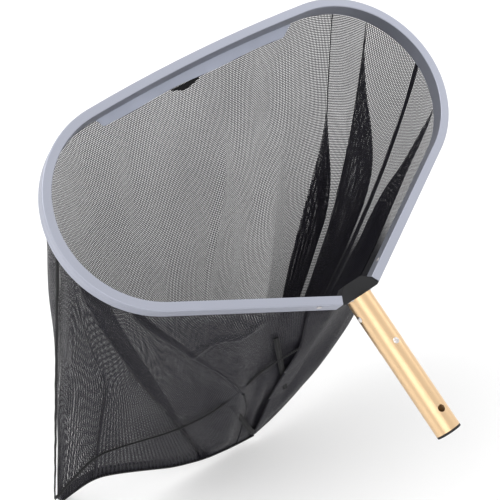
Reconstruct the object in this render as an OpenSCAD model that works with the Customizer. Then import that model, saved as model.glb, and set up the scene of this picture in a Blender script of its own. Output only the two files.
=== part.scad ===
// Deep-bag leaf skimmer net. The rim plane and the handle share one plane, which
// slopes down towards the pole end. +Z is up, the handle points along +X and down,
// and the origin is the centre of the handle's pole end.

/* [Rim] */
// Overall width of the rim across its widest point
rim_w = 508; // [460:1:560]
// Length from the front of the rim to the front end of the handle tube
rim_len = 312; // [290:1:340]
// Outside radius of the two rounded corners
corner_r = 116; // [105:1:125]
// Outside radius of the slightly bowed front edge
front_r = 2000; // [1500:10:3000]
// Angle of the straight arms from straight across
arm_angle = 27.5; // [24:0.5:31]
// Width of the rim channel, seen from above
channel_w = 10; // [9:0.5:12]
// Height of the rim channel
channel_h = 19; // [18:0.5:22]
// Wall thickness of the rim channel
channel_wall = 1.3; // [1.2:0.1:1.5]
// Distance of each arm's outer end corner from the centre line
arm_end = 26; // [25:0.5:30]

/* [Handle] */
// Outside diameter of the handle tube
tube_d = 28.5; // [28:0.1:30]
// Wall thickness of the handle tube
tube_wall = 1.5; // [1.2:0.1:2]
// Length of the handle tube
tube_len = 165; // [150:1:190]
// Length of the tube's pole end that is drawn to slide into a pole
shank_len = 102; // [95:1:105]
// Diameter of that drawn pole end
shank_d = 28; // [27.6:0.1:28.1]
// Diameter of the cross hole for the pole's snap button
snap_hole_d = 8; // [6.5:0.1:9]
// Distance of the cross hole from the tube's pole end
snap_hole_back = 23.6; // [20:0.2:30]
// Slope of the rim plane and the handle below horizontal
slope = 32; // [20:1:40]
// Length of the end plug's collar
collar_len = 2.6; // [2:0.2:5]

/* [Fasteners] */
// Distance of the side rivet from the tube's front end
side_rivet_at = 20.3; // [16:0.1:26]
// Distance of the top rivet from the tube's front end
top_rivet_at = 58.4; // [50:0.1:62]
// Diameter of the handle rivets' heads
rivet_head_d = 6.8; // [6:0.1:8]
// Diameter of the handle rivets' shanks
rivet_d = 4; // [3.2:0.1:4.8]
// Distance of the arm rivets from the centre line
arm_rivet_at = 48; // [42:1:55]

/* [Bag] */
// Left lower corner of the bag, where the side seam ends
left_corner = [-322, -287, -198];
// Right lower corner, where the gathered side ends
right_corner = [-243, -60, -188];
// Half thickness of the bag along its bottom edge
bottom_half = 6; // [4:0.5:10]
// Thickness given to the mesh panels
mesh_t = 1.4; // [1:0.1:2]
// How far the hem reaches below the rim channel
hem_drop = 4; // [3:0.5:8]
// Height of the grey wear strip below the rim's front edge
strip_drop = 18; // [14:1:24]
// Half the width of the wear strip
strip_half = 134; // [110:1:136]

/* [Hidden] */

half_w = rim_w / 2;
tube_r = tube_d / 2;
shank_r = shank_d / 2;
bore_r = tube_r - tube_wall;
tube_front = -(tube_len + collar_len);
shank_front = -(shank_len + collar_len);
mid = channel_w / 2;
snap_x = -(collar_len + snap_hole_back);

// Corner arc centres, front arc centre and the angles where the arcs meet
corner_y = half_w - corner_r;
front_x = tube_front - rim_len + front_r;
meet = asin(corner_y / (front_r - corner_r));
corner_x = front_x - (front_r - corner_r) * cos(meet);
sweep = 180 - arm_angle - meet;
arm_start_y = corner_y + corner_r * sin(180 - arm_angle);
arm_start_x = corner_x - corner_r * cos(180 - arm_angle);
arm_len = (arm_start_y - arm_end) / cos(arm_angle);

// Lengths along the channel's middle line, from the front centre to an arm's end
front_half = (front_r - mid) * meet * PI / 180;
corner_len = (corner_r - mid) * sweep * PI / 180;
half_len = front_half + corner_len + arm_len;
side_at = front_half + (corner_r - mid) * (90 - meet) * PI / 180;
end_y = arm_end - mid * sin(arm_angle);
end_x = arm_start_x + arm_len * sin(arm_angle) - mid * cos(arm_angle);
round_len = 2 * half_len + 2 * end_y;

// The channel's inside: a closed upper chamber and a lower one for the bead
web_z = -channel_h / 2 + 6.5;
bead_r = 1.5;
hem_r = 2.4;
hem_t = 1.2;
slot_w = 2.4;
bead_z = -channel_h / 2 + channel_wall + hem_r;
hem_end = -channel_h / 2 - hem_drop;
edge_r = 1.2;
groove_r = 0.4;
groove_heights = [6, -3];

// Steps round a full circle for the front edge's and the corners' arcs
front_fn = 1440;
corner_fn = 144;
lap_len = 1.2;
lap_grow = 0.02;

// Tangs: flat strips in the upper chambers, bent to run side by side in the insert
tang_t = 2.2;
tang_h = 9;
tang_z = (web_z + channel_h / 2) / 2;
tang_in_arm = 45;
tang_y = 3.4;
tail_h = 12;
tail_len = 50;
bend_x = end_x + (end_y - tang_y) * tan(arm_angle);
slot_gap = 0.15;

// Yoke insert and rivets
insert_r = bore_r - 0.15;
insert_len = 66;
yoke_h = 17;
yoke_gap = 0.4;
nose_len = 7;
nose_half = 11;
shoulder_in = 3;
hole_gap = 0.05;
head_h = 1.4;
mandrel_r = 1.1;
side_shank_to = 8;
top_shank_len = 16;
plug_len = 13;
plug_bore_r = 9;
arm_head_r = 2.6;
arm_shank_r = 1.5;
arm_head_h = 0.8;
collar_chamfer = 0.5;

// Bag: how many strips and rows each panel has, and how its strings sag
panel_steps = 40;
rows = 12;
along = (right_corner - left_corner) / norm(right_corner - left_corner);
near = cross(along, [0, 0, 1]) / norm(cross(along, [0, 0, 1]));
turn_from = -(side_at + 25);
turn_to = -(side_at - 25);
fan_from = 40;
fan_len = 260;
seam_w = 9;
seam_t = 1.2;
seam_gap = 0.3;
strip_t = 1.2;
strip_steps = 24;
tab_half = 15;
tab_at = -22;
tab_drop = 8;
bag_drop = 470;

// Tapes on the rear of the bag, as [place along the rim, depth from 0 to 1]
rear_seam_path = [
    [-side_at - 12, 0.97], [-side_at - 70, 0.84], [-side_at - 120, 0.79],
    [-side_at - 175, 0.72], [-side_at - 228, 0.58], [-side_at - 257, 0.38], [-side_at - 295, 0.27]
];
corner_strap_path = [[-side_at - 233, 0.62], [-side_at - 265, 0.78], [-side_at - 299, 0.95]];
gather_strap_path = [[-side_at - 255, 0.2], [-side_at - 280, 0.4], [-side_at - 306, 0.58]];

function mix(a, b, f) = a + (b - a) * f;
function clamp01(f) = min(max(f, 0), 1);
function ease(f) = clamp01(f) * clamp01(f) * (3 - 2 * clamp01(f));
function sloped(p) = [
    p[0] * cos(slope) + p[2] * sin(slope),
    p[1],
    -p[0] * sin(slope) + p[2] * cos(slope)
];
function wrapped(t) = t > round_len / 2 ? t - round_len : t;

// A point of the rim, t along the middle line from the front centre (t > 0 on the
// +Y side) and inset inwards from the outer face
function rim_half(t, inset) =
    t < front_half ?
        let(turn = t / (front_r - mid) * 180 / PI)
        [front_x - (front_r - inset) * cos(turn), (front_r - inset) * sin(turn)]
    : t < front_half + corner_len ?
        let(turn = meet + (t - front_half) / (corner_r - mid) * 180 / PI)
        [corner_x - (corner_r - inset) * cos(turn), corner_y + (corner_r - inset) * sin(turn)]
    : t < half_len ?
        let(d = t - front_half - corner_len)
        [
            corner_x + (corner_r - inset) * cos(arm_angle) + d * sin(arm_angle),
            corner_y + (corner_r - inset) * sin(arm_angle) - d * cos(arm_angle)
        ]
    : [end_x - (inset - mid), end_y - (t - half_len)];
function rim_point(t, inset, z) =
    let(w = wrapped(t), p = rim_half(abs(w), inset))
    sloped([p[0], (w < 0 ? -1 : 1) * p[1], z]);

// The bag's bottom edge: a long thin loop around the line between the two corners.
// The right side and its arm all gather at the right corner.
function bottom_point(t, half) =
    let(w = wrapped(t), u = w < turn_from ? w + round_len : w)
    w > turn_from && w < turn_to ?
        let(turn = 180 * (w - turn_from) / (turn_to - turn_from))
        left_corner + half * (near * cos(turn) - along * sin(turn))
    : w >= turn_to && w < front_half ?
        mix(left_corner, right_corner, (w - turn_to) / (front_half - turn_to)) - near * half
    : u < round_len - half_len ?
        let(turn = 180 * (u - front_half) / (round_len - half_len - front_half))
        right_corner + half * (along * sin(turn) - near * cos(turn))
    : mix(right_corner, left_corner, (u - round_len + half_len) / (turn_from + half_len)) + near * half;

// How much a string of mesh hangs straight down before it swings to its corner
function fan(t) =
    let(w = wrapped(t), u = w < turn_from ? w + round_len : w)
    ease((u - fan_from) / fan_len) * (1 - ease((u - half_len + 60) / 120));
function bag_point(t, f, inset) =
    let(
        top = rim_point(t, mid + inset, hem_end),
        low = bottom_point(t, bottom_half - inset),
        k = fan(t),
        bend = [
            mix(top[0], low[0], 0.5 - 0.3 * k),
            mix(top[1], low[1], 0.5 - 0.3 * k),
            mix(top[2], low[2], 0.5 + 0.05 * k)
        ]
    )
    (1 - f) * (1 - f) * top + 2 * f * (1 - f) * bend + f * f * low;

// A closed slab between two grids of points that have the same rows and columns
module slab(outer, inner) {
    n = len(outer);
    m = len(outer[0]);
    points = [for (g = [outer, inner]) for (row = g) for (p = row) p];
    function at(side, i, j) = side * n * m + i * m + j;
    faces = [
        for (i = [0 : n - 2]) for (j = [0 : m - 2]) each [
            [at(0, i, j), at(0, i, j + 1), at(0, i + 1, j + 1)],
            [at(0, i, j), at(0, i + 1, j + 1), at(0, i + 1, j)],
            [at(1, i, j), at(1, i + 1, j + 1), at(1, i, j + 1)],
            [at(1, i, j), at(1, i + 1, j), at(1, i + 1, j + 1)]
        ],
        for (j = [0 : m - 2]) each [
            [at(0, 0, j), at(1, 0, j), at(1, 0, j + 1)],
            [at(0, 0, j), at(1, 0, j + 1), at(0, 0, j + 1)],
            [at(0, n - 1, j), at(1, n - 1, j + 1), at(1, n - 1, j)],
            [at(0, n - 1, j), at(0, n - 1, j + 1), at(1, n - 1, j + 1)]
        ],
        for (i = [0 : n - 2]) each [
            [at(0, i, 0), at(1, i + 1, 0), at(1, i, 0)],
            [at(0, i, 0), at(0, i + 1, 0), at(1, i + 1, 0)],
            [at(0, i, m - 1), at(1, i, m - 1), at(1, i + 1, m - 1)],
            [at(0, i, m - 1), at(1, i + 1, m - 1), at(0, i + 1, m - 1)]
        ]
    ];
    polyhedron(points = points, faces = faces, convexity = 10);
}

// A bag panel between two places along the rim
module panel(from, to) {
    ts = [for (i = [0 : panel_steps]) mix(from, to, i / panel_steps)];
    slab(
        [for (t = ts) [for (j = [0 : rows]) bag_point(t, j / rows, 0)]],
        [for (t = ts) [for (j = [0 : rows]) bag_point(t, j / rows, mesh_t)]]
    );
}

// A flat tape on the bag's outside, along a path of [place along the rim, depth]
module tape(path, width) {
    function spot(k, lift) = bag_point(path[k][0], path[k][1], -lift);
    function ahead(k) = spot(min(k + 1, len(path) - 1), seam_gap) - spot(max(k - 1, 0), seam_gap);
    function out(k) =
        let(d = bag_point(path[k][0], path[k][1], -4) - bag_point(path[k][0], path[k][1], 0))
        norm(d) < 0.01 ? near : d / norm(d);
    function side(k) = let(c = cross(ahead(k), out(k))) c / norm(c) * width / 2;
    slab(
        [for (k = [0 : len(path) - 1]) [spot(k, seam_gap + seam_t) - side(k), spot(k, seam_gap + seam_t) + side(k)]],
        [for (k = [0 : len(path) - 1]) [spot(k, seam_gap) - side(k), spot(k, seam_gap) + side(k)]]
    );
}

module in_rim_plane() {
    rotate([0, slope, 0]) children();
}

// Sweeps a section once round the rim. Its x runs inwards from the outer face. The
// second child is the same section a hair larger, for short laps that join the pieces.
module rim_sweep() {
    translate([front_x, 0, 0]) rotate([0, 0, 180 - meet])
        rotate_extrude(angle = 2 * meet, $fn = front_fn)
        translate([front_r, 0]) mirror([1, 0]) children(0);
    for (side = [0, 1]) mirror([0, side, 0]) {
        translate([corner_x, -corner_y, 0]) rotate([0, 0, 180 + meet])
            rotate_extrude(angle = sweep, $fn = corner_fn)
            translate([corner_r, 0]) mirror([1, 0]) children(0);
        at_corner(360 - arm_angle) linear_extrude(height = arm_len) children(0);
        for (turn = [180 + meet, 360 - arm_angle]) at_corner(turn)
            translate([0, 0, -lap_len / 2]) linear_extrude(height = lap_len) children(1);
    }
}

// Puts a section at one angle of the left corner's arc, facing along the rim
module at_corner(turn) {
    multmatrix([
        [-cos(turn), 0, -sin(turn), corner_x + corner_r * cos(turn)],
        [-sin(turn), 0, cos(turn), -corner_y + corner_r * sin(turn)],
        [0, 1, 0, 0]
    ]) children();
}

// A rivet hole or shank through the left arm, across its width
module across_arm(r, from, to) {
    at_corner(360 - arm_angle) translate([from, tang_z, (arm_start_y - arm_rivet_at) / cos(arm_angle)])
        rotate([0, 90, 0]) cylinder(r = r, h = to - from, $fn = 48);
}

module channel_section(grow) {
    bottom = -channel_h / 2;
    wall = channel_wall + grow;
    difference() {
        union() {
            translate([edge_r, bottom - grow])
                square([channel_w - 2 * edge_r, channel_h + 2 * grow]);
            translate([-grow, bottom + edge_r])
                square([channel_w + 2 * grow, channel_h - 2 * edge_r]);
            for (x = [edge_r, channel_w - edge_r]) for (y = [edge_r, channel_h - edge_r])
                translate([x, bottom + y]) circle(r = edge_r + grow, $fn = 24);
        }
        translate([wall, web_z + wall])
            square([channel_w - 2 * wall, channel_h / 2 - 2 * wall - web_z]);
        translate([wall, bottom + wall])
            square([channel_w - 2 * wall, web_z - grow - bottom - wall]);
        translate([mid - slot_w / 2 + grow, bottom - 1]) square([slot_w - 2 * grow, wall + 2]);
        for (y = groove_heights) translate([-grow, y]) circle(r = groove_r, $fn = 16);
    }
}

module hem_section(grow) {
    difference() {
        union() {
            translate([mid, bead_z]) circle(r = hem_r - 0.1 + grow, $fn = 32);
            translate([mid - hem_t / 2 - grow, hem_end - grow])
                square([hem_t + 2 * grow, bead_z - hem_end]);
        }
        translate([mid, bead_z]) circle(r = bead_r + 0.1 - grow, $fn = 32);
    }
}

module bead_section(grow) {
    translate([mid, bead_z]) circle(r = bead_r + grow, $fn = 32);
}

module tang_outline(t) {
    reach = tang_in_arm + (end_y - tang_y) / cos(arm_angle);
    translate([bend_x, -tang_y]) rotate(180 + 90 - arm_angle) translate([0, -t / 2]) square([reach, t]);
    translate([bend_x, -tang_y]) circle(r = t / 2, $fn = 32);
}

module tang_shape(gap) {
    translate([0, 0, tang_z - tang_h / 2 - gap])
        linear_extrude(height = tang_h + 2 * gap) tang_outline(tang_t + 2 * gap);
    translate([bend_x, -tang_y - tang_t / 2 - gap, -tail_h / 2 - gap])
        cube([tube_front + tail_len - bend_x + gap, tang_t + 2 * gap, tail_h + 2 * gap]);
}

module side_shank(r) {
    translate([tube_front + side_rivet_at, side_shank_to, 0]) rotate([90, 0, 0])
        cylinder(r = r, h = tube_r + side_shank_to, $fn = 48);
}

module top_shank(r) {
    translate([tube_front + top_rivet_at, 0, tube_r - top_shank_len])
        cylinder(r = r, h = top_shank_len, $fn = 48);
}

// A domed rivet head that sits on the tube, with the pulled-out stem's dimple
module rivet_head() {
    difference() {
        intersection() {
            translate([0, 0, tube_r - 3]) cylinder(d = rivet_head_d, h = head_h + 3, $fn = 48);
            translate([0, 0, tube_r + head_h - 5]) sphere(r = 5, $fn = 64);
        }
        rotate([0, 90, 0]) cylinder(r = tube_r, h = 20, center = true, $fn = 96);
        translate([0, 0, tube_r + head_h - 0.6]) cylinder(r = mandrel_r, h = 2, $fn = 32);
    }
}

module rim_channel() {
    color([0.69, 0.71, 0.77]) in_rim_plane() difference() {
        rim_sweep() {
            channel_section(0);
            channel_section(lap_grow);
        }
        for (side = [0, 1]) mirror([0, side, 0])
            across_arm(arm_shank_r + hole_gap, -1, channel_w + 1);
    }
}

module left_tang() {
    color([0.75, 0.76, 0.79]) in_rim_plane() difference() {
        tang_shape(0);
        across_arm(arm_shank_r + hole_gap, -1, channel_w + 1);
        side_shank(rivet_d / 2 + hole_gap);
    }
}

module right_tang() {
    color([0.75, 0.76, 0.79]) in_rim_plane() difference() {
        mirror([0, 1, 0]) tang_shape(0);
        mirror([0, 1, 0]) across_arm(arm_shank_r + hole_gap, -1, channel_w + 1);
        side_shank(rivet_d / 2 + hole_gap);
    }
}

module yoke_insert() {
    step = [sin(arm_angle), cos(arm_angle)] * yoke_gap;
    outer = [end_x + mid * cos(arm_angle), -arm_end] + step;
    inner = outer + [-cos(arm_angle), sin(arm_angle)] * channel_w;
    back = tube_front - yoke_gap;
    nose = [inner[0] - nose_len, -nose_half];
    shoulder = [back, -(arm_end - yoke_gap - shoulder_in)];
    color([0.06, 0.06, 0.07]) in_rim_plane() difference() {
        union() {
            translate([0, 0, -yoke_h / 2]) linear_extrude(height = yoke_h) polygon([
                shoulder, outer, inner, nose, [nose[0], -nose[1]],
                [inner[0], -inner[1]], [outer[0], -outer[1]], [back, -shoulder[1]]
            ]);
            translate([back - 1, 0, 0]) rotate([0, 90, 0])
                cylinder(r = insert_r, h = insert_len + yoke_gap + 1, $fn = 96);
        }
        for (side = [0, 1]) mirror([0, side, 0]) tang_shape(slot_gap);
        side_shank(rivet_d / 2 + hole_gap);
        top_shank(rivet_d / 2 + hole_gap);
    }
}

module handle_tube() {
    color([0.86, 0.7, 0.48]) in_rim_plane() difference() {
        union() {
            translate([tube_front, 0, 0]) rotate([0, 90, 0])
                cylinder(r = tube_r, h = shank_front - tube_front, $fn = 96);
            translate([shank_front - 1, 0, 0]) rotate([0, 90, 0])
                cylinder(r = shank_r, h = shank_len + 1, $fn = 96);
        }
        translate([tube_front - 1, 0, 0]) rotate([0, 90, 0])
            cylinder(r = bore_r, h = tube_len + 2, $fn = 96);
        side_shank(rivet_d / 2 + hole_gap);
        top_shank(rivet_d / 2 + hole_gap);
        translate([snap_x, 0, -tube_r - 1])
            cylinder(d = snap_hole_d, h = tube_d + 2, $fn = 64);
    }
}

module end_plug() {
    color([0.07, 0.07, 0.08]) in_rim_plane() rotate([0, -90, 0]) difference() {
        union() {
            cylinder(r1 = shank_r - collar_chamfer, r2 = shank_r, h = collar_chamfer, $fn = 96);
            translate([0, 0, collar_chamfer])
                cylinder(r = shank_r, h = collar_len - collar_chamfer, $fn = 96);
            translate([0, 0, collar_len - 0.5])
                cylinder(r = insert_r, h = plug_len + 0.5, $fn = 96);
        }
        translate([0, 0, -1]) cylinder(r = plug_bore_r, h = collar_len + plug_len + 2, $fn = 64);
    }
}

module side_rivet() {
    color([0.8, 0.78, 0.76]) in_rim_plane() {
        side_shank(rivet_d / 2);
        translate([tube_front + side_rivet_at, 0, 0]) rotate([90, 0, 0]) rivet_head();
    }
}

module top_rivet() {
    color([0.8, 0.78, 0.76]) in_rim_plane() {
        top_shank(rivet_d / 2);
        translate([tube_front + top_rivet_at, 0, 0]) rivet_head();
    }
}

module arm_rivet() {
    across_arm(arm_shank_r, -arm_head_h / 2, channel_w + arm_head_h);
    across_arm(arm_head_r, -arm_head_h, 0);
    across_arm(arm_head_r, channel_w, channel_w + arm_head_h);
}

module left_arm_rivet() {
    color([0.72, 0.73, 0.76]) in_rim_plane() arm_rivet();
}

module right_arm_rivet() {
    color([0.72, 0.73, 0.76]) in_rim_plane() mirror([0, 1, 0]) arm_rivet();
}

module bead_cord() {
    color([0.1, 0.1, 0.11]) in_rim_plane() rim_sweep() {
        bead_section(0);
        bead_section(lap_grow);
    }
}

module mouth_hem() {
    color([0.12, 0.12, 0.13]) in_rim_plane() rim_sweep() {
        hem_section(0);
        hem_section(lap_grow);
    }
}

module front_panel() {
    color([0.3, 0.3, 0.32]) panel(-side_at, side_at);
}

module rear_panel() {
    color([0.3, 0.3, 0.32]) panel(side_at, round_len - side_at);
}

module left_seam() {
    color([0.1, 0.1, 0.11]) tape([for (j = [0 : rows]) [-side_at, j / rows]], seam_w);
}

module right_seam() {
    color([0.1, 0.1, 0.11]) tape([for (j = [0 : rows]) [side_at, j / rows]], seam_w);
}

module bottom_seam() {
    low = cross(along, near);
    function edge(f, side, drop) =
        mix(left_corner - along * bottom_half, right_corner + along * bottom_half, f)
        + near * side * (bottom_half + 1) + low * drop;
    color([0.1, 0.1, 0.11]) slab(
        [for (i = [0 : rows]) [edge(i / rows, 1, seam_gap + seam_t), edge(i / rows, -1, seam_gap + seam_t)]],
        [for (i = [0 : rows]) [edge(i / rows, 1, seam_gap), edge(i / rows, -1, seam_gap)]]
    );
}

module rear_seam() {
    color([0.1, 0.1, 0.11]) tape(rear_seam_path, seam_w);
}

module corner_strap() {
    color([0.08, 0.08, 0.09]) tape(corner_strap_path, seam_w * 1.3);
}

module gather_strap() {
    color([0.08, 0.08, 0.09]) tape(gather_strap_path, seam_w * 1.3);
}

// A strip inside the front panel, from just under the rim down to a depth
module inner_strip(from, to, top_drop, drop, inset) {
    function spot(t, d, lift) = bag_point(t, d / bag_drop, mesh_t + inset + lift);
    ts = [for (i = [0 : strip_steps]) mix(from, to, i / strip_steps)];
    slab(
        [for (t = ts) [for (d = [top_drop, (top_drop + drop) / 2, drop]) spot(t, d, 0)]],
        [for (t = ts) [for (d = [top_drop, (top_drop + drop) / 2, drop]) spot(t, d, strip_t)]]
    );
}

module wear_strip() {
    color([0.66, 0.67, 0.74])
        inner_strip(-strip_half, strip_half, -hem_drop + 0.5, strip_drop - hem_drop, seam_gap);
}

module strip_tab() {
    color([0.05, 0.05, 0.06]) inner_strip(
        tab_at - tab_half, tab_at + tab_half,
        strip_drop - hem_drop + 0.3, strip_drop - hem_drop + tab_drop, seam_gap
    );
}

rim_channel();
left_tang();
right_tang();
yoke_insert();
handle_tube();
end_plug();
side_rivet();
top_rivet();
left_arm_rivet();
right_arm_rivet();
bead_cord();
mouth_hem();
front_panel();
rear_panel();
left_seam();
right_seam();
bottom_seam();
rear_seam();
corner_strap();
gather_strap();
wear_strip();
strip_tab();
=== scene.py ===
import math

import bpy
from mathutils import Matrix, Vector, noise


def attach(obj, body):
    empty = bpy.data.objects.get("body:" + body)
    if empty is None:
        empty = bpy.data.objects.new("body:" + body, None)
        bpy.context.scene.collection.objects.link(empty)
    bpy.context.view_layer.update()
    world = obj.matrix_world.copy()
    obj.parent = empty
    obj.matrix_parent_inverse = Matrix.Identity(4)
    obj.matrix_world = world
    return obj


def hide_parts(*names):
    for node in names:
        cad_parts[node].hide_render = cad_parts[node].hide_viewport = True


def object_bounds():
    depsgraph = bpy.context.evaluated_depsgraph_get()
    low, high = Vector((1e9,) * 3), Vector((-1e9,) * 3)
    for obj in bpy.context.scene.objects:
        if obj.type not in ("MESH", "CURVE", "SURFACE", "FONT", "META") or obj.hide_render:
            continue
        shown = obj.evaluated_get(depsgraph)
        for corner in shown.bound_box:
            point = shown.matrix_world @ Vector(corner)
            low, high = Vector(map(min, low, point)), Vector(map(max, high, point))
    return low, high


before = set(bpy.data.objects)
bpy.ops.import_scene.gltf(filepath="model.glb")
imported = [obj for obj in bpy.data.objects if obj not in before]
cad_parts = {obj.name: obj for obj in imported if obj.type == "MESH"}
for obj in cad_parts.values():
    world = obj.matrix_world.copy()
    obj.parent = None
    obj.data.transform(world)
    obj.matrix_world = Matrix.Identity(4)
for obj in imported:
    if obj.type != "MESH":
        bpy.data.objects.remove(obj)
CAD_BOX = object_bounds()

bl_info = {
    "name": "Leaf Skimmer Net",
    "version": (1, 0, 0),
    "blender": (4, 5, 0),
    "location": "View3D > Sidebar > Leaf Skimmer",
    "description": "Finishes a deep-bag leaf skimmer net: mesh bag, seams, metal and plastic",
    "category": "Object",
}

MM = 0.001

# How the mesh folds and settles, in millimetres or as shares
NARROWEST_PLEAT = 0.4
PLEAT_RUN = 6.0
LOOSE_MESH = 0.35
SEWN_TOP = 0.05
SEWN_BOTTOM = 0.06
LEAST_SPREAD = 0.12
OPEN_SHARE = 0.42
BROAD_WAVE = 6.0
FINE_WAVE = 2.6
RIPPLE = 1.6
SETTLE_REACH = 7.0

# The rim's middle line and the bag's corners, in millimetres, as the solids have them
SLOPE = math.radians(32.0)
HALF_W = 254.0
CORNER_R = 116.0
FRONT_R = 2000.0
ARM_ANGLE = math.radians(27.5)
CHANNEL_W = 10.0
MID = CHANNEL_W / 2
HEM_END = -13.5
ARM_END = 26.0
TUBE_FRONT = -167.6
RIM_LEN = 312.0
LEFT_CORNER = Vector((-322.0, -287.0, -198.0))
RIGHT_CORNER = Vector((-243.0, -60.0, -188.0))
BOTTOM_HALF = 5.0
BAG_DROP = 470.0
STRIP_DROP = 18.0
STRIP_HALF = 134.0

CORNER_Y = HALF_W - CORNER_R
FRONT_X = TUBE_FRONT - RIM_LEN + FRONT_R
MEET = math.asin(CORNER_Y / (FRONT_R - CORNER_R))
CORNER_X = FRONT_X - (FRONT_R - CORNER_R) * math.cos(MEET)
SWEEP = math.pi - ARM_ANGLE - MEET
ARM_START_Y = CORNER_Y + CORNER_R * math.sin(ARM_ANGLE)
ARM_START_X = CORNER_X + CORNER_R * math.cos(ARM_ANGLE)
ARM_LEN = (ARM_START_Y - ARM_END) / math.cos(ARM_ANGLE)
FRONT_HALF = (FRONT_R - MID) * MEET
CORNER_LEN = (CORNER_R - MID) * SWEEP
HALF_LEN = FRONT_HALF + CORNER_LEN + ARM_LEN
SIDE_AT = FRONT_HALF + (CORNER_R - MID) * (math.pi / 2 - MEET)
END_Y = ARM_END - MID * math.sin(ARM_ANGLE)
END_X = ARM_START_X + ARM_LEN * math.sin(ARM_ANGLE) - MID * math.cos(ARM_ANGLE)
ROUND_LEN = 2 * HALF_LEN + 2 * END_Y
TURN_FROM = -(SIDE_AT + 25)
TURN_TO = -(SIDE_AT - 25)
ALONG = (RIGHT_CORNER - LEFT_CORNER).normalized()
NEAR = ALONG.cross(Vector((0, 0, 1))).normalized()

# The bottom edge hangs in a slack line between its two corners, as
# [share of the way, how far it stands off the straight line in x, y and z]
BOTTOM_LINE = [
    (0.00, (0, 0, 0)),
    (0.05, (14, 4, 30)),
    (0.12, (22, 0, 52)),
    (0.22, (26, 0, 52)),
    (0.36, (24, 0, 38)),
    (0.52, (20, 0, 19)),
    (0.70, (14, 0, 6)),
    (0.86, (6, 0, 0)),
    (1.00, (0, 0, 0)),
]


def ease(f):
    """From 0 to 1 as f does, with a slow start and a slow end."""
    f = min(max(f, 0.0), 1.0)
    return f * f * (3 - 2 * f)


def between(keys, f):
    """The value at f from a list of (place, value), joined by straight lines."""
    if f <= keys[0][0]:
        return keys[0][1]
    for (f0, v0), (f1, v1) in zip(keys, keys[1:]):
        if f <= f1:
            return v0 + (v1 - v0) * (f - f0) / (f1 - f0)
    return keys[-1][1]


def smooth_between(keys, f, reach=0.06):
    """The same, with its corners rounded off over a short reach."""
    steps = (-1.0, -0.5, 0.0, 0.5, 1.0)
    return sum(between(keys, f + s * reach) for s in steps) / len(steps)


def wrapped(t):
    """A place along the rim, counted the short way from the front centre."""
    while t > ROUND_LEN / 2:
        t -= ROUND_LEN
    while t < -ROUND_LEN / 2:
        t += ROUND_LEN
    return t


def sloped(x, y, z):
    """A point of the rim's plane, set in the sloping frame."""
    c, s = math.cos(SLOPE), math.sin(SLOPE)
    return Vector((x * c + z * s, y, -x * s + z * c))


def rim_half(t, inset):
    """A point of the rim's plane on its +Y half: front arc, corner, arm and arm gap."""
    if t < FRONT_HALF:
        a = t / (FRONT_R - MID)
        r = FRONT_R - inset
        return FRONT_X - r * math.cos(a), r * math.sin(a)
    r = CORNER_R - inset
    if t < FRONT_HALF + CORNER_LEN:
        a = MEET + (t - FRONT_HALF) / (CORNER_R - MID)
        return CORNER_X - r * math.cos(a), CORNER_Y + r * math.sin(a)
    c, s = math.cos(ARM_ANGLE), math.sin(ARM_ANGLE)
    if t < HALF_LEN:
        d = t - FRONT_HALF - CORNER_LEN
        return CORNER_X + r * c + d * s, CORNER_Y + r * s - d * c
    return END_X - (inset - MID), END_Y - (t - HALF_LEN)


def rim_point(t, inset, z):
    """A point by the rim: t along it from the front centre, inset from its outside."""
    w = wrapped(t)
    x, y = rim_half(abs(w), inset)
    return sloped(x, -y if w < 0 else y, z)


def bottom_at(share):
    """A point of the bag's slack bottom edge, from the left corner to the right."""
    p = LEFT_CORNER.lerp(RIGHT_CORNER, share)
    for axis in range(3):
        keys = [(f, off[axis]) for f, off in BOTTOM_LINE]
        weight = min(1.0, share * 12, (1 - share) * 12)
        p[axis] += smooth_between(keys, share, 0.05 * weight)
    return p


def bottom_point(t, half):
    """Where the string of mesh from t ends, on the long thin loop at the bottom."""
    w = wrapped(t)
    u = w + ROUND_LEN if w < TURN_FROM else w
    if TURN_FROM < w < TURN_TO:
        a = math.pi * (w - TURN_FROM) / (TURN_TO - TURN_FROM)
        return LEFT_CORNER + half * (NEAR * math.cos(a) - ALONG * math.sin(a))
    if TURN_TO <= w < FRONT_HALF:
        return bottom_at((w - TURN_TO) / (FRONT_HALF - TURN_TO)) - NEAR * half
    if u < ROUND_LEN - HALF_LEN:
        a = math.pi * (u - FRONT_HALF) / (ROUND_LEN - HALF_LEN - FRONT_HALF)
        return RIGHT_CORNER + half * (ALONG * math.sin(a) - NEAR * math.cos(a))
    share = 1 - (u - ROUND_LEN + HALF_LEN) / (TURN_FROM + HALF_LEN)
    return bottom_at(share) + NEAR * half


def fan(t):
    """How much a string of mesh hangs straight down before it swings to its corner."""
    w = wrapped(t)
    u = w + ROUND_LEN if w < TURN_FROM else w
    return ease((u - 40) / 260) * (1 - ease((u - HALF_LEN + 60) / 120))


def bag_point(t, f, inset=0.0):
    """A point of the hanging bag: t along the rim, f from the hem (0) to the bottom."""
    top = rim_point(t, MID + inset, HEM_END)
    low = bottom_point(t, BOTTOM_HALF - inset)
    k = fan(t)
    bend = Vector((
        top[0] + (low[0] - top[0]) * (0.5 - 0.3 * k),
        top[1] + (low[1] - top[1]) * (0.5 - 0.3 * k),
        top[2] + (low[2] - top[2]) * (0.5 + 0.05 * k),
    ))
    return top * (1 - f) ** 2 + bend * (2 * f * (1 - f)) + low * (f * f)


def bag_normal(t, f):
    """Which way the bag's outside faces."""
    f = min(max(f, 0.02), 0.93)
    a = bag_point(t + 3, f) - bag_point(t - 3, f)
    b = bag_point(t, f + 0.02) - bag_point(t, f - 0.02)
    n = a.cross(b)
    return n.normalized() if n.length > 1e-6 else NEAR.copy()


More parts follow.
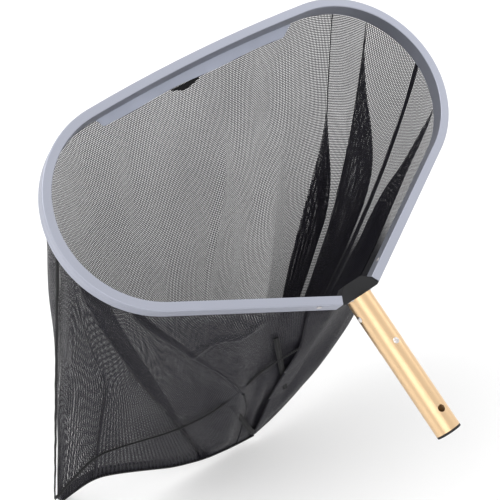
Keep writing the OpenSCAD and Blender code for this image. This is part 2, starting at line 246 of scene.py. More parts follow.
# Pleats of the two panels. Each has a left and a right edge, as [depth, place along
# the rim], where the mesh turns back on itself, and how far its layers stand apart.
FRONT_PLEATS = [
    {
        "left": [(0.0, 191), (0.12, 196), (0.27, 207), (0.38, 203), (0.55, 199), (1.0, 196)],
        "right": [(0.0, 193), (0.12, 199), (0.26, 210), (0.38, 232), (0.46, 248), (1.0, 250)],
        "puff": 2.0,
    },
    {
        "left": [(0.0, 235), (0.18, 241), (0.27, 247), (0.4, 249), (0.5, 254), (1.0, 258)],
        "right": [
            (0.0, 236), (0.05, 237), (0.14, 249), (0.22, 264), (0.29, 290), (0.4, 306), (1.0, 307)],
        "puff": 2.4,
    },
]
SIDE_END = ROUND_LEN - SIDE_AT
REAR_PLEATS = [
    {
        "left": [(0.0, 370), (0.06, 366), (0.22, 351), (0.37, 327), (0.6, 324), (1.0, 324)],
        "right": [
            (0.0, 371), (0.06, 368), (0.18, 362), (0.28, 362), (0.36, 370), (0.6, 392), (1.0, 392)],
        "puff": 2.2,
    },
    {
        "left": [(0.0, 648), (0.3, 643), (0.57, 637), (1.0, 636)],
        "right": [(0.0, 698), (0.26, 682), (0.46, 691), (0.76, 680), (1.0, 676)],
        "puff": 2.6,
    },
    {
        "left": [(0.0, 882), (0.18, 829), (0.32, 789), (0.46, 741), (0.7, 708), (1.0, 696)],
        "right": [(0.0, 896), (0.18, 838), (0.32, 794), (0.46, 743), (0.7, 710), (1.0, 698)],
        "puff": 1.8,
    },
    {
        "left": [(0.0, 914), (0.15, 889), (0.39, 852), (0.7, 805), (1.0, 751)],
        "right": [(0.0, 950), (0.21, 904), (0.45, 861), (0.7, 810), (1.0, 756)],
        "puff": 2.4,
    },
    {
        "left": [(0.0, 955), (0.3, 925), (0.44, 905), (0.81, 911), (1.0, 914)],
        "right": [(0.0, 956), (0.3, 926), (0.44, 908), (0.81, 916), (1.0, 918)],
        "puff": 1.5,
    },
]
# Soft creases: the place along the rim at each depth, and how deep and wide they are
FRONT_CREASES = [
    {"line": [(0.28, 50), (0.45, 36), (0.62, 18), (0.8, 4)], "deep": -5.0, "wide": 9.0},
    {"line": [(0.2, -96), (0.5, -60), (0.85, -30)], "deep": 4.0, "wide": 18.0},
    {"line": [(0.05, 128), (0.4, 110), (0.8, 60)], "deep": 4.0, "wide": 22.0},
]
REAR_CREASES = [
    {"line": [(0.7, 807), (0.85, 780), (1.0, 751)], "deep": -5.0, "wide": 7.0},
    {"line": [(0.12, 741), (0.16, 775), (0.2, 818)], "deep": 4.0, "wide": 6.0},
    {"line": [(0.1, 770), (0.5, 742), (0.9, 730)], "deep": 5.0, "wide": 16.0},
]


def fresh_selection():
    """Leaves object mode with nothing selected."""
    if bpy.context.object and bpy.context.object.mode != "OBJECT":
        bpy.ops.object.mode_set(mode="OBJECT")
    bpy.ops.object.select_all(action="DESELECT")


def take(obj):
    """Makes one piece the only selected and active one."""
    fresh_selection()
    obj.select_set(True)
    bpy.context.view_layer.objects.active = obj


def put_piece(name, verts, faces, uvs=None):
    """A new piece from points in millimetres, faces and a UV place for each point."""
    mesh = bpy.data.meshes.new(name)
    mesh.from_pydata([Vector(v) * MM for v in verts], [], faces)
    if uvs:
        layer = mesh.uv_layers.new(name="weave")
        for loop in mesh.loops:
            layer.data[loop.index].uv = uvs[loop.vertex_index]
    mesh.validate()
    obj = bpy.data.objects.new(name, mesh)
    bpy.context.scene.collection.objects.link(obj)
    return obj


def grid_faces(columns, rows):
    """The faces of a grid whose points run down each column in turn."""
    faces = []
    for i in range(columns - 1):
        for j in range(rows - 1):
            a = i * rows + j
            faces.append((a, a + 1, a + rows + 1, a + rows))
    return faces


def solidify(obj, thick):
    """Gives a sheet its thickness, half to each side."""
    take(obj)
    wall = obj.modifiers.new("wall", "SOLIDIFY")
    wall.thickness = thick * MM
    wall.offset = 0.0
    bpy.ops.object.modifier_apply(modifier=wall.name)


def bevel(obj, width, segments):
    """Rounds the sharp edges."""
    take(obj)
    edge = obj.modifiers.new("edge", "BEVEL")
    edge.width = width * MM
    edge.segments = segments
    edge.limit_method = "ANGLE"
    edge.angle_limit = math.radians(40)
    bpy.ops.object.modifier_apply(modifier=edge.name)


def smooth_shade(obj, angle):
    """Shades smooth all but the edges sharper than the angle, in degrees."""
    take(obj)
    bpy.ops.object.shade_smooth_by_angle(angle=math.radians(angle))


def pleat_columns(start, end, pleats, spacing):
    """The column places of a pleated panel: for each column which stretch it is in
    and how far along it."""
    columns = [(0, 0.0)]
    for k in range(2 * len(pleats) + 1):
        widest = 0.0
        for f in (0.0, 0.2, 0.4, 0.6, 0.8, 1.0):
            stops = pleat_stops(start, end, pleats, f)
            widest = max(widest, abs(stops[k + 1] - stops[k]))
        count = max(3, math.ceil(widest / spacing))
        columns += [(k, (q + 1) / count) for q in range(count)]
    return columns


def pleat_edges(pleat, f):
    """The places of a pleat's left and right fold at the depth f."""
    left = smooth_between(pleat["left"], f)
    return left, max(left + NARROWEST_PLEAT, smooth_between(pleat["right"], f))


def pleat_stops(start, end, pleats, f):
    """The places along the rim where a pleated panel starts, turns back and ends."""
    stops = [start]
    for pleat in pleats:
        left, right = pleat_edges(pleat, f)
        stops += [right, left]
    return stops + [end]


def pleat_lift(k, t, q, pleats, f):
    """How far a layer of a pleat stands off the bag, in the stretch k."""

    def size(i):
        left, right = pleat_edges(pleats[i], f)
        full = min(1.0, (right - left) / PLEAT_RUN)
        return left, right, pleats[i]["puff"] * full * ease(f / 0.05 + 0.15)

    if k % 2:
        return size(k // 2)[2] * (1 - 2 * q)
    lift = 0.0
    if k > 0:
        left, right, puff = size(k // 2 - 1)
        lift -= puff * (1 - ease((t - left) / (right - left + PLEAT_RUN)))
    if k < 2 * len(pleats):
        left, right, puff = size(k // 2)
        lift += puff * ease((t - left + PLEAT_RUN) / (right - left + PLEAT_RUN))
    return lift


def slack(t, f, m, creases, seed):
    """The panel's soft unevenness off its even hang."""
    hold = math.sin(math.pi * min(f, 0.97)) ** 0.8
    lift = BROAD_WAVE * hold * noise.noise(Vector((m / 85, f * 3.2, seed)))
    lift += FINE_WAVE * hold * noise.noise(Vector((m / 24, f * 1.6, seed + 7)))
    ends = ease(f / 0.1) * ease((1 - f) * 4)
    lift += RIPPLE * ends * math.sin(m / 11 + 3 * math.sin(f * 3 + seed))
    for c in creases:
        line = c["line"]
        if line[0][0] - 0.1 < f < line[-1][0] + 0.1:
            fade = ease((f - line[0][0] + 0.1) / 0.12) * ease((line[-1][0] + 0.1 - f) / 0.12)
            off = (t - smooth_between(line, f)) / c["wide"]
            lift += c["deep"] * fade * math.exp(-off * off)
    return lift


def bunched(t, f):
    """How far the mesh is bunched up below the yoke, where the bag's right side meets."""
    inside = ease((t - 250) / 50) * ease((f - 0.40) / 0.16)
    behind = ease((t - 318) / 20) * ease((f - 0.30) / 0.16)
    yoke = ease((t - 600) / 30) * 0.9
    near = ease((t - 690) / 60)
    low = 0.6 * ease((900 - t) / 110) * ease((t - 600) / 30)
    return max(max(inside, behind, yoke) * (1 - near) * 0.96, low * ease(f / 0.1))


def weave_panel(name, start, end, pleats, creases, seed, spacing=4.6, rows=96):
    """One pleated panel of the mesh bag, hung from the rim."""
    columns = pleat_columns(start, end, pleats, spacing)
    reference = pleat_stops(start, end, pleats, 0.3)
    verts, uvs, gather = [], [], []
    m = 0.0
    last = start
    for k, q in columns:
        here = reference[k] + (reference[k + 1] - reference[k]) * q
        m += abs(here - last)
        last = here
        drop = 0.0
        before = None
        for j in range(rows):
            f = j / (rows - 1)
            stops = pleat_stops(start, end, pleats, f)
            t = stops[k] + (stops[k + 1] - stops[k]) * q
            plain = bag_point(t, f)
            n = bag_normal(t, f)
            lift = pleat_lift(k, t, q, pleats, f)
            lift += slack(t, f, m, creases, seed) * ease(f * 12)
            if f > 0.97:
                lift *= (1 - f) / 0.03
            p = plain + n * lift
            if before is not None:
                drop += (plain - before).length
            before = plain
            verts.append(p)
            uvs.append((m * MM, drop * MM))
            apart = (bag_point(t + 4, f) - bag_point(t - 4, f)).length / 8
            layers = 1 / min(max(apart, LEAST_SPREAD), 1.0)
            gather.append(max(1 - OPEN_SHARE ** (layers - 1), bunched(t, f)))
    obj = put_piece(name, verts, grid_faces(len(columns), rows), uvs)
    held = obj.data.attributes.new("gather", "FLOAT", "POINT")
    for i, g in enumerate(gather):
        held.data[i].value = g
    pins = obj.vertex_groups.new(name="held")
    for i in range(len(columns)):
        for j in range(rows):
            f = j / (rows - 1)
            if j == 0 or j == rows - 1 or i in (0, len(columns) - 1):
                weight = 1.0
            else:
                sewn = max(1 - f / SEWN_TOP, 1 - (1 - f) / SEWN_BOTTOM, 0.0)
                weight = LOOSE_MESH + (1 - LOOSE_MESH) * sewn
            pins.add([i * rows + j], weight, "REPLACE")
    return obj


def relax(obj, frames):
    """Lets a panel settle under its own weight, then keeps the settled shape. No point
    moves further than the settling reach."""
    start = [v.co.copy() for v in obj.data.vertices]
    take(obj)
    cloth = obj.modifiers.new("settle", "CLOTH")
    s = cloth.settings
    s.quality = 4
    s.mass = 0.06
    s.tension_stiffness = 18
    s.compression_stiffness = 6
    s.shear_stiffness = 4
    s.bending_stiffness = 0.35
    s.tension_damping = 12
    s.air_damping = 3
    s.vertex_group_mass = "held"
    s.pin_stiffness = 0.6
    cloth.collision_settings.use_collision = False
    cloth.collision_settings.use_self_collision = False
    cloth.point_cache.frame_start = 1
    cloth.point_cache.frame_end = frames
    scene = bpy.context.scene
    scene.frame_start = 1
    scene.frame_end = frames
    for f in range(1, frames + 1):
        scene.frame_set(f)
    take(obj)
    bpy.ops.object.modifier_apply(modifier=cloth.name)
    scene.frame_set(1)
    for v, before in zip(obj.data.vertices, start):
        step = v.co - before
        if step.length > SETTLE_REACH * MM:
            v.co = before + step * (SETTLE_REACH * MM / step.length)


def ribbon(name, path, width, lift, thick, sides=4, steps=10):
    """A sewn tape on the bag's outside along a path of (place, depth)."""
    dense = []
    for (t0, f0), (t1, f1) in zip(path, path[1:]):
        for k in range(steps):
            dense.append((t0 + (t1 - t0) * k / steps, f0 + (f1 - f0) * k / steps))
    dense.append(path[-1])
    dense = smooth_path(dense, steps // 2)
    spots = [bag_point(t, f) + bag_normal(t, f) * lift for t, f in dense]
    verts, uvs = [], []
    run = 0.0
    for k, (t, f) in enumerate(dense):
        ahead = spots[min(k + 1, len(spots) - 1)] - spots[max(k - 1, 0)]
        out = bag_normal(t, f)
        side = ahead.cross(out).normalized()
        if k:
            run += (spots[k] - spots[k - 1]).length
        wave = 0.7 * math.sin(run / 9.0) + 0.5 * math.sin(run / 4.1 + 1)
        for s in range(sides + 1):
            across = s / sides - 0.5
            crown = 0.5 * (1 - (2 * across) ** 2)
            verts.append(spots[k] + side * across * width + out * (crown + 0.25 * wave))
            uvs.append((run * MM, (across + 0.5) * width * MM))
    obj = put_piece(name, verts, grid_faces(len(dense), sides + 1), uvs)
    solidify(obj, thick)
    smooth_shade(obj, 60)
    return obj


def smooth_path(path, reach):
    """Rounds the corners of a dense path, with its ends kept."""
    out = []
    for k in range(len(path)):
        r = min(reach, k, len(path) - 1 - k)
        span = path[k - r:k + r + 1]
        out.append((sum(p[0] for p in span) / len(span), sum(p[1] for p in span) / len(span)))
    return out


def inner_band(name, start, end, top, lower, columns, rows, inset, thick):
    """A band inside the front panel, from a top drop to a lower drop that can change
    along it, both in millimetres below the hem."""
    verts, uvs = [], []
    for i in range(columns):
        t = start + (end - start) * i / (columns - 1)
        low = lower(t)
        for j in range(rows):
            drop = top + (low - top) * j / (rows - 1)
            f = drop / BAG_DROP
            wave = 0.5 * math.sin(t / 17.0) * j / (rows - 1)
            verts.append(bag_point(t, max(f, 0.0), inset + wave) + sloped(0, 0, max(-drop, 0)))
            uvs.append((t * MM, drop * MM))
    obj = put_piece(name, verts, grid_faces(columns, rows), uvs)
    solidify(obj, thick)
    bevel(obj, 0.35, 2)
    smooth_shade(obj, 50)
    return obj


# Materials


def new_material(name):
    """A material with only a shader in it, with its tree and its shader."""
    mat = bpy.data.materials.new(name)
    mat.use_nodes = True
    tree = mat.node_tree
    tree.nodes.clear()
    out = tree.nodes.new("ShaderNodeOutputMaterial")
    skin = tree.nodes.new("ShaderNodeBsdfPrincipled")
    tree.links.new(skin.outputs["BSDF"], out.inputs["Surface"])
    return mat, tree, skin


def linear(rgb):
    """A colour seen as 0 to 255 in each of red, green and blue, as light."""

    def one(c):
        c /= 255
        return c / 12.92 if c <= 0.04045 else ((c + 0.055) / 1.055) ** 2.4

    return tuple(one(c) for c in rgb) + (1.0,)


def node(tree, kind, **settings):
    """A node with some of its settings made."""
    n = tree.nodes.new(kind)
    for key, value in settings.items():
        setattr(n, key, value)
    return n


def maths(tree, operation, a, b=None, clamp=False):
    """One step of arithmetic on numbers or sockets."""
    n = tree.nodes.new("ShaderNodeMath")
    n.operation = operation
    n.use_clamp = clamp
    for i, v in enumerate((a, b)):
        if v is None:
            continue
        if isinstance(v, (int, float)):
            n.inputs[i].default_value = v
        else:
            tree.links.new(v, n.inputs[i])
    return n.outputs[0]


def blend_colours(tree, share, a, b):
    """A colour between two, by a share from 0 to 1. Each colour is fixed or linked."""
    n = tree.nodes.new("ShaderNodeMix")
    n.data_type = "RGBA"
    tree.links.new(share, n.inputs["Factor"])
    for socket, v in ((n.inputs[6], a), (n.inputs[7], b)):
        if isinstance(v, tuple):
            socket.default_value = v
        else:
            tree.links.new(v, socket)
    return n.outputs[2]


def spread(tree, value, low, high, to_low, to_high):
    """A value taken from one range to another, and held within it."""
    n = tree.nodes.new("ShaderNodeMapRange")
    n.inputs["From Min"].default_value = low
    n.inputs["From Max"].default_value = high
    n.inputs["To Min"].default_value = to_low
    n.inputs["To Max"].default_value = to_high
    tree.links.new(value, n.inputs["Value"])
    return n.outputs[0]


def bumped(tree, skin, height, distance, strength):
    """Raises a height on the surface, by a distance in millimetres."""
    b = tree.nodes.new("ShaderNodeBump")
    b.inputs["Distance"].default_value = distance * MM
    b.inputs["Strength"].default_value = strength
    tree.links.new(height, b.inputs["Height"])
    tree.links.new(b.outputs["Normal"], skin.inputs["Normal"])


def grain(tree, vector, scale, detail=3.0, rough=0.5):
    """Fine random grain."""
    n = tree.nodes.new("ShaderNodeTexNoise")
    n.inputs["Scale"].default_value = scale
    n.inputs["Detail"].default_value = detail
    n.inputs["Roughness"].default_value = rough
    tree.links.new(vector, n.inputs["Vector"])
    return n.outputs["Fac"]


def stretched(tree, scale, turn=(0, 0, 0)):
    """Object coordinates stretched along an axis, for marks that run one way."""
    place = tree.nodes.new("ShaderNodeTexCoord")
    mapping = tree.nodes.new("ShaderNodeMapping")
    mapping.inputs["Rotation"].default_value = turn
    mapping.inputs["Scale"].default_value = scale
    tree.links.new(place.outputs["Object"], mapping.inputs["Vector"])
    return mapping.outputs["Vector"]


def woven_mesh(name, thread, pitch, share):
    """Open knitted mesh: dark threads with square holes between them, closed up where
    the bag is gathered."""
    mat, tree, skin = new_material(name)
    uv = node(tree, "ShaderNodeUVMap", uv_map="weave")
    split = tree.nodes.new("ShaderNodeSeparateXYZ")
    tree.links.new(uv.outputs["UV"], split.inputs[0])
    wander = grain(tree, stretched(tree, (1, 1, 1)), 45.0, 2.0)
    sway = maths(tree, "MULTIPLY", maths(tree, "SUBTRACT", wander, 0.5), 0.35)
    rounds = []
    for axis in (0, 1):
        turns = maths(tree, "MULTIPLY", split.outputs[axis], 2 * math.pi / (pitch * MM))
        turns = maths(tree, "ADD", turns, sway)
        rounds.append(maths(tree, "COSINE", turns))
    # A hole lies where both waves are high. The level sets how much is open.
    level = -0.06
    hole = [spread(tree, r, level - share, level + share, 0.0, 1.0) for r in rounds]
    open_part = maths(tree, "MULTIPLY", hole[0], hole[1], True)
    gather = node(tree, "ShaderNodeAttribute", attribute_name="gather")
    patch = grain(tree, stretched(tree, (1, 1, 1)), 9.0, 3.0)
    loose = spread(tree, patch, 0.3, 0.7, 0.86, 1.04)
    closing = maths(tree, "SUBTRACT", 1.0, gather.outputs["Fac"])
    open_part = maths(tree, "MULTIPLY", open_part, maths(tree, "MULTIPLY", closing, loose), True)
    alpha = maths(tree, "SUBTRACT", 1.0, open_part, True)
    tree.links.new(alpha, skin.inputs["Alpha"])
    dark, light = thread
    fleck = grain(tree, stretched(tree, (1, 1, 1)), 260.0, 2.0)
    tree.links.new(blend_colours(tree, fleck, dark, light), skin.inputs["Base Color"])
    rough = spread(tree, fleck, 0.2, 0.8, 0.42, 0.62)
    tree.links.new(rough, skin.inputs["Roughness"])
    skin.inputs["Sheen Weight"].default_value = 0.05
    skin.inputs["Sheen Roughness"].default_value = 0.4
    skin.inputs["Specular IOR Level"].default_value = 0.2
    bumped(tree, skin, maths(tree, "ADD", rounds[0], rounds[1]), -0.25, 0.35)
    return mat


def tape_cloth(name, dark, light, stitch=True):
    """Woven binding with fine ribs and two rows of stitches."""
    mat, tree, skin = new_material(name)
    uv = node(tree, "ShaderNodeUVMap", uv_map="weave")
    split = tree.nodes.new("ShaderNodeSeparateXYZ")
    tree.links.new(uv.outputs["UV"], split.inputs[0])
    ribs = maths(tree, "SINE", maths(tree, "MULTIPLY", split.outputs[0], 2 * math.pi / (1.1 * MM)))
    cross = maths(tree, "SINE", maths(tree, "MULTIPLY", split.outputs[1], 2 * math.pi / (0.9 * MM)))
    cloth = maths(tree, "MULTIPLY", ribs, cross)
    tone = spread(tree, cloth, -1, 1, 0.0, 0.7)
    base = blend_colours(tree, tone, dark, light)
    if stitch:
        dash = maths(tree, "SINE", maths(tree, "MULTIPLY", split.outputs[0], 2 * math.pi / (3.4 * MM)))
        row = maths(tree, "COSINE", maths(tree, "MULTIPLY", split.outputs[1], 2 * math.pi / (3.0 * MM)))
        dash = spread(tree, dash, -0.2, 0.2, 0, 1)
        row = spread(tree, row, 0.7, 0.9, 0, 1)
        mark = maths(tree, "MULTIPLY", dash, row, True)
        thread = tuple(min(1, c * 3.5 + 0.01) for c in light[:3]) + (1.0,)
        base = blend_colours(tree, mark, base, thread)
        cloth = maths(tree, "ADD", cloth, mark)
    tree.links.new(base, skin.inputs["Base Color"])
    tree.links.new(spread(tree, cloth, -1, 1, 0.8, 0.6), skin.inputs["Roughness"])
    skin.inputs["Sheen Weight"].default_value = 0.04
    skin.inputs["Specular IOR Level"].default_value = 0.15
    bumped(tree, skin, cloth, 0.2, 0.6)
    return mat


def drawn_metal(name, colour, other, along, rough, marks, turn=(0, 0, 0)):
    """Extruded metal with fine lengthwise drawing marks and slight wear."""
    mat, tree, skin = new_material(name)
    fine = grain(tree, stretched(tree, along, turn), 220.0, 4.0, 0.6)
    broad = grain(tree, stretched(tree, (1, 1, 1), turn), 14.0, 3.0)
    scuff = grain(tree, stretched(tree, (1, 1, 1), turn), 95.0, 5.0, 0.7)
    worn = spread(tree, scuff, 0.62, 0.74, 0.0, 0.35)
    mix = maths(tree, "ADD", maths(tree, "MULTIPLY", broad, 0.5), maths(tree, "MULTIPLY", fine, 0.35))
    tone = maths(tree, "ADD", mix, worn, True)
    tree.links.new(blend_colours(tree, tone, colour, other), skin.inputs["Base Color"])
    skin.inputs["Metallic"].default_value = 1.0
    dull = spread(tree, maths(tree, "ADD", fine, worn), 0.2, 1.0, rough, rough + 0.22)
    tree.links.new(dull, skin.inputs["Roughness"])
    bumped(tree, skin, fine, 0.08, marks)
    return mat


def moulded_plastic(name, dark, light, rough=0.42):
    """Moulded plastic with a fine spark-eroded grain."""
    mat, tree, skin = new_material(name)
    fine = grain(tree, stretched(tree, (1, 1, 1)), 700.0, 3.0)
    broad = grain(tree, stretched(tree, (1, 1, 1)), 40.0, 4.0)
    tree.links.new(blend_colours(tree, broad, dark, light), skin.inputs["Base Color"])
    tree.links.new(spread(tree, broad, 0.3, 0.7, rough, rough + 0.15), skin.inputs["Roughness"])
    skin.inputs["Specular IOR Level"].default_value = 0.25
    bumped(tree, skin, fine, 0.1, 0.4)
    return mat


def vinyl(name, dark, light):
    """Soft vinyl with a satin skin and faint ripples."""
    mat, tree, skin = new_material(name)
    fine = grain(tree, stretched(tree, (1, 1, 1)), 420.0, 3.0)
    broad = grain(tree, stretched(tree, (1, 1, 1)), 30.0, 3.0)
    tree.links.new(blend_colours(tree, broad, dark, light), skin.inputs["Base Color"])
    tree.links.new(spread(tree, fine, 0.3, 0.7, 0.38, 0.5), skin.inputs["Roughness"])
    bumped(tree, skin, fine, 0.06, 0.35)
    return mat


def dress(obj, mat):
    """Gives a piece one material."""
    obj.data.materials.clear()
    obj.data.materials.append(mat)


# Settings


class SkimmerBag(bpy.types.PropertyGroup):
    thread_pitch: bpy.props.FloatProperty(
        name="Thread pitch", description="Distance between the mesh's threads, in millimetres",
        default=2.0, min=0.8, max=4.0)
    edge_softness: bpy.props.FloatProperty(
        name="Hole softness", description="How softly a hole's edge fades into its threads",
        default=0.35, min=0.05, max=1.0)
    thread_dark: bpy.props.FloatVectorProperty(
        name="Thread, dark", description="Darkest colour of the mesh's threads",
        subtype="COLOR", size=4, default=(0.003, 0.003, 0.004, 1.0), min=0, max=1)
    thread_light: bpy.props.FloatVectorProperty(
        name="Thread, light", description="Lightest colour of the mesh's threads",
        subtype="COLOR", size=4, default=(0.012, 0.0105, 0.019, 1.0), min=0, max=1)
    settle_frames: bpy.props.IntProperty(
        name="Settling steps", description="How many steps the mesh settles for under its weight",
        default=24, min=1, max=80)
    tape_width: bpy.props.FloatProperty(
        name="Tape width", description="Width of the sewn tapes, in millimetres",
        default=6.0, min=3.0, max=12.0)


class SkimmerMetal(bpy.types.PropertyGroup):
    rim_colour: bpy.props.FloatVectorProperty(
        name="Rim", description="Colour of the rim's aluminium",
        subtype="COLOR", size=4, default=(0.375, 0.39, 0.455, 1.0), min=0, max=1)
    rim_rough: bpy.props.FloatProperty(
        name="Rim roughness", description="Roughness of the rim's satin finish",
        default=0.42, min=0.0, max=1.0, subtype="FACTOR")
    gold_colour: bpy.props.FloatVectorProperty(
        name="Handle", description="Colour of the handle's anodised aluminium",
        subtype="COLOR", size=4, default=(0.80, 0.58, 0.36, 1.0), min=0, max=1)
    gold_rough: bpy.props.FloatProperty(
        name="Handle roughness", description="Roughness of the handle's anodised finish",
        default=0.24, min=0.0, max=1.0, subtype="FACTOR")


class SkimmerStage(bpy.types.PropertyGroup):
    lens: bpy.props.FloatProperty(
        name="Lens", description="Focal length of the camera, in millimetres",
        default=90.9, min=20, max=300)
    floor_size: bpy.props.FloatProperty(
        name="Floor size", description="Side of the square floor",
        default=14.0, min=1.0, unit="LENGTH", subtype="DISTANCE")
    sky: bpy.props.FloatProperty(
        name="Sky light", description="Strength of the even light from all round",
        default=0.92, min=0.0)
    key: bpy.props.FloatProperty(
        name="Key light", description="Power of the large soft light, in watts",
        default=42.0, min=0.0, subtype="POWER")


class SKIMMER_OT_bag(bpy.types.Operator):
    """Hang the front and the rear mesh panel from the rim and let them settle"""
    bl_idname = "skimmer.bag"
    bl_label = "Mesh Bag"

    def execute(self, context):
        bag = context.scene.skimmer_bag
        weave = woven_mesh("bag_mesh", (tuple(bag.thread_dark), tuple(bag.thread_light)),
                           bag.thread_pitch, bag.edge_softness)
        front = weave_panel("bag_front", -SIDE_AT, SIDE_AT, FRONT_PLEATS, FRONT_CREASES, 3.0)
        rear = weave_panel("bag_rear", SIDE_AT, SIDE_END, REAR_PLEATS, REAR_CREASES, 8.0)
        for obj in (front, rear):
            relax(obj, bag.settle_frames)
            dress(obj, weave)
            take(obj)
            bpy.ops.object.shade_smooth()
            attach(obj, "root")
        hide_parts("front_panel")
        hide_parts("rear_panel")
        return {"FINISHED"}


class SKIMMER_OT_tapes(bpy.types.Operator):
    """Sew the seams and straps on the bag's outside"""
    bl_idname = "skimmer.tapes"
    bl_label = "Seams and Straps"

    def execute(self, context):
        width = context.scene.skimmer_bag.tape_width
        binding = tape_cloth("seam_binding", (0.002, 0.002, 0.0025, 1), (0.007, 0.007, 0.008, 1))
        webbing = tape_cloth("strap_webbing", (0.002, 0.002, 0.0025, 1), (0.006, 0.006, 0.007, 1))
        runs = [
            ("seam_left", "left_seam", [(-SIDE_AT, j / 12) for j in range(13)], width * 0.7, binding),
            ("seam_right", "right_seam", [(SIDE_AT, j / 12) for j in range(13)], width * 0.7, binding),
            ("seam_rear", "rear_seam", [
                (-SIDE_AT - 6, 0.985), (-SIDE_AT - 40, 0.9), (-SIDE_AT - 68, 0.835),
                (-SIDE_AT - 101, 0.79), (-SIDE_AT - 172, 0.71), (-SIDE_AT - 227, 0.58),
                (-SIDE_AT - 257, 0.38), (-SIDE_AT - 295, 0.26)], width * 0.6, binding),
            ("strap_corner", "corner_strap", [
                (-SIDE_AT - 232, 0.6), (-SIDE_AT - 264, 0.77), (-SIDE_AT - 298, 0.94)], width, webbing),
            ("strap_gather", "gather_strap", [
                (-SIDE_AT - 255, 0.17), (-SIDE_AT - 277, 0.35), (-SIDE_AT - 307, 0.58)], width, webbing),
        ]
        for name, solid, path, wide, mat in runs:
            tape = ribbon(name, path, wide, 3.0, 0.8)
            dress(tape, mat)
            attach(tape, "root")
            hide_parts(solid)
        bottom = self.bottom_binding(width)
        dress(bottom, binding)
        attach(bottom, "root")
        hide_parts("bottom_seam")
        return {"FINISHED"}

    def bottom_binding(self, width):
        """The binding folded round the bag's bottom edge."""
        verts, uvs = [], []
        steps = 60
        run = 0.0
        last = bottom_at(0.0)
        for i in range(steps + 1):
            p = bottom_at(i / steps)
            run += (p - last).length
            last = p
            for k in range(9):
                a = math.pi * (k / 8)
                out = NEAR * math.cos(a) * (BOTTOM_HALF + 1.4) + Vector((0, 0, -1.0)) * math.sin(a) * 2.4
                rise = Vector((0, 0, 1.6)) if k in (0, 8) else Vector((0, 0, 0))
                verts.append(p + out + rise)
                uvs.append((run * MM, k * 1.6 * MM))
        obj = put_piece("seam_bottom", verts, grid_faces(steps + 1, 9), uvs)
        solidify(obj, 0.8)
        smooth_shade(obj, 60)
        return obj


class SKIMMER_OT_strip(bpy.types.Operator):
    """Fit the grey wear strip and its black tab inside the front of the mouth"""
    bl_idname = "skimmer.strip"
    bl_label = "Wear Strip and Tab"

    def execute(self, context):
        def strip_low(t):
            ends = ease((STRIP_HALF - abs(t)) / 10)
            return (STRIP_DROP - 4.0) * (0.25 + 0.75 * ends) + 0.6 * math.sin(t / 23.0)

        def tab_low(t):
            return between([(-37, 15.2), (-28, 17.0), (-16, 22.0), (-8, 20.5), (8, 15.4)], t)

        strip = inner_band("strip_wear", -STRIP_HALF, STRIP_HALF, -3.4, strip_low, 110, 8, 2.2, 1.2)
        dress(strip, vinyl("strip_vinyl", linear((150, 155, 170)), linear((172, 177, 194))))
        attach(strip, "root")
        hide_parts("wear_strip")
        tab = inner_band("strip_flap", -34.0, 5.0, 13.8, tab_low, 18, 5, 2.3, 1.2)
        dress(tab, tape_cloth("flap_cloth", (0.004, 0.004, 0.005, 1), (0.014, 0.014, 0.016, 1), False))
        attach(tab, "root")
        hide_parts("strip_tab")
        return {"FINISHED"}


class SKIMMER_OT_metal(bpy.types.Operator):
    """Give the rim, the tangs, the handle tube and the rivets their metal"""
    bl_idname = "skimmer.metal"
    bl_label = "Metal Parts"

    def execute(self, context):
        m = context.scene.skimmer_metal
        tilt = (0, -SLOPE, 0)
        colour = tuple(m.rim_colour)
        paler = tuple(min(1.0, c * 1.12 + 0.02) for c in colour[:3]) + (1.0,)
        rim = drawn_metal(
            "rim_satin_aluminium", colour, paler, (1, 1, 24), m.rim_rough, 0.35, tilt)
        gold = tuple(m.gold_colour)
        deeper = (gold[0] * 0.93, gold[1] * 0.88, gold[2] * 0.8, 1.0)
        tube = drawn_metal(
            "handle_gold_anodised", gold, deeper, (0.04, 1, 1), m.gold_rough, 0.3, tilt)
        tang = drawn_metal(
            "tang_mill_aluminium", (0.55, 0.56, 0.6, 1), (0.7, 0.71, 0.74, 1),
            (0.05, 1, 1), 0.35, 0.4, tilt)
        rivet = drawn_metal(
            "rivet_aluminium", (0.62, 0.58, 0.56, 1), (0.78, 0.76, 0.75, 1), (1, 1, 1), 0.28, 0.3)
        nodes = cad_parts
        dress(nodes["rim_channel"], rim)
        dress(nodes["handle_tube"], tube)
        for name in ("left_tang", "right_tang"):
            dress(nodes[name], tang)
        for name in ("side_rivet", "top_rivet", "left_arm_rivet", "right_arm_rivet"):
            dress(nodes[name], rivet)
        return {"FINISHED"}


class SKIMMER_OT_plastic(bpy.types.Operator):
    """Give the yoke, the end plug, the bead cord and the hem their finishes"""
    bl_idname = "skimmer.plastic"
    bl_label = "Plastic, Cord and Hem"

    def execute(self, context):
        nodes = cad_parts
        black = moulded_plastic("black_plastic", (0.008, 0.008, 0.009, 1), (0.018, 0.018, 0.02, 1))
        for name in ("yoke_insert", "end_plug"):
            dress(nodes[name], black)
        cord = moulded_plastic("bead_cord_skin", (0.01, 0.01, 0.011, 1), (0.02, 0.02, 0.022, 1), 0.5)
        dress(nodes["bead_cord"], cord)
        mat, tree, skin = new_material("hem_binding")
        fine = grain(tree, stretched(tree, (1, 1, 1)), 900.0, 2.0)
        broad = grain(tree, stretched(tree, (1, 1, 1)), 60.0, 3.0)
        tone = blend_colours(tree, broad, (0.008, 0.008, 0.009, 1), (0.03, 0.03, 0.034, 1))
        tree.links.new(tone, skin.inputs["Base Color"])
        tree.links.new(spread(tree, fine, 0.3, 0.7, 0.6, 0.85), skin.inputs["Roughness"])
        skin.inputs["Sheen Weight"].default_value = 0.2
        bumped(tree, skin, fine, 0.25, 0.6)
        dress(nodes["mouth_hem"], mat)
        return {"FINISHED"}


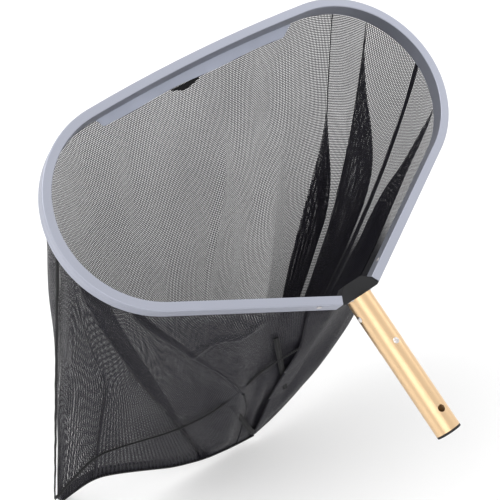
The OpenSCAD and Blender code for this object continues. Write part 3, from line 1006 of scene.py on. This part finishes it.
class SKIMMER_OT_stage(bpy.types.Operator):
    """Set up the pale floor, the soft lights and the camera"""
    bl_idname = "skimmer.stage"
    bl_label = "Stage"

    def execute(self, context):
        st = context.scene.skimmer_stage
        fresh_selection()
        low = CAD_BOX[0][2]
        bpy.ops.mesh.primitive_plane_add(size=st.floor_size, location=(-0.2, 0, low - 0.004))
        floor = context.object
        floor.name = "floor"
        bpy.ops.object.transform_apply(location=True, rotation=True, scale=True)
        mat, tree, skin = new_material("floor_paper")
        soft = grain(tree, stretched(tree, (1, 1, 1)), 3.0, 3.0)
        tone = blend_colours(tree, soft, (0.93, 0.93, 0.93, 1), (0.95, 0.95, 0.95, 1))
        tree.links.new(tone, skin.inputs["Base Color"])
        skin.inputs["Roughness"].default_value = 0.9
        skin.inputs["Specular IOR Level"].default_value = 0.1
        dress(floor, mat)
        world = bpy.data.worlds.new("studio")
        context.scene.world = world
        world.use_nodes = True
        back = world.node_tree.nodes["Background"]
        back.inputs["Color"].default_value = (1.0, 1.0, 1.0, 1.0)
        back.inputs["Strength"].default_value = st.sky
        for name, place, power, size in (
            ("key", (-1.6, -1.2, 2.4), st.key, 2.2),
            ("fill", (1.4, -1.6, 1.6), st.key * 0.35, 2.0),
            ("back", (-0.2, 2.2, 1.8), st.key * 0.35, 2.4),
        ):
            bpy.ops.object.light_add(type="AREA", location=place)
            lamp = context.object
            lamp.name = name
            lamp.data.energy = power
            lamp.data.size = size
            aim = Vector((-0.2, 0.0, 0.05)) - Vector(place)
            lamp.rotation_euler = aim.to_track_quat("-Z", "Y").to_euler()
        cam = bpy.data.cameras.new("camera")
        cam.lens = st.lens
        cam.sensor_width = 36
        cam.clip_end = 50
        eye = bpy.data.objects.new("camera", cam)
        eye.location = (0.477228, -0.678974, 1.042557)
        eye.rotation_euler = (math.radians(90 - 44.1471), 0, math.radians(49.4688))
        context.scene.collection.objects.link(eye)
        context.scene.camera = eye
        context.scene.view_settings.view_transform = "Standard"
        return {"FINISHED"}


class SKIMMER_PT_panel(bpy.types.Panel):
    """Everything that finishes the skimmer net, in the order it is done"""
    bl_idname = "SKIMMER_PT_panel"
    bl_label = "Leaf Skimmer"
    bl_space_type = "VIEW_3D"
    bl_region_type = "UI"
    bl_category = "Leaf Skimmer"

    def draw(self, context):
        layout = self.layout
        scene = context.scene
        for group in (scene.skimmer_bag, scene.skimmer_metal, scene.skimmer_stage):
            box = layout.box()
            for key in group.__annotations__:
                box.prop(group, key)
        for op in OPERATORS:
            layout.operator(op.bl_idname)


OPERATORS = (
    SKIMMER_OT_bag, SKIMMER_OT_tapes, SKIMMER_OT_strip,
    SKIMMER_OT_metal, SKIMMER_OT_plastic, SKIMMER_OT_stage,
)
CLASSES = (SkimmerBag, SkimmerMetal, SkimmerStage) + OPERATORS + (SKIMMER_PT_panel,)


def register():
    for cls in CLASSES:
        bpy.utils.register_class(cls)
    bpy.types.Scene.skimmer_bag = bpy.props.PointerProperty(type=SkimmerBag)
    bpy.types.Scene.skimmer_metal = bpy.props.PointerProperty(type=SkimmerMetal)
    bpy.types.Scene.skimmer_stage = bpy.props.PointerProperty(type=SkimmerStage)


def unregister():
    del bpy.types.Scene.skimmer_stage
    del bpy.types.Scene.skimmer_metal
    del bpy.types.Scene.skimmer_bag
    for cls in reversed(CLASSES):
        bpy.utils.unregister_class(cls)


def main():
    register()
    bpy.ops.skimmer.bag()
    bpy.ops.skimmer.tapes()
    bpy.ops.skimmer.strip()
    bpy.ops.skimmer.metal()
    bpy.ops.skimmer.plastic()
    bpy.ops.skimmer.stage()


if __name__ == "__main__":
    main()
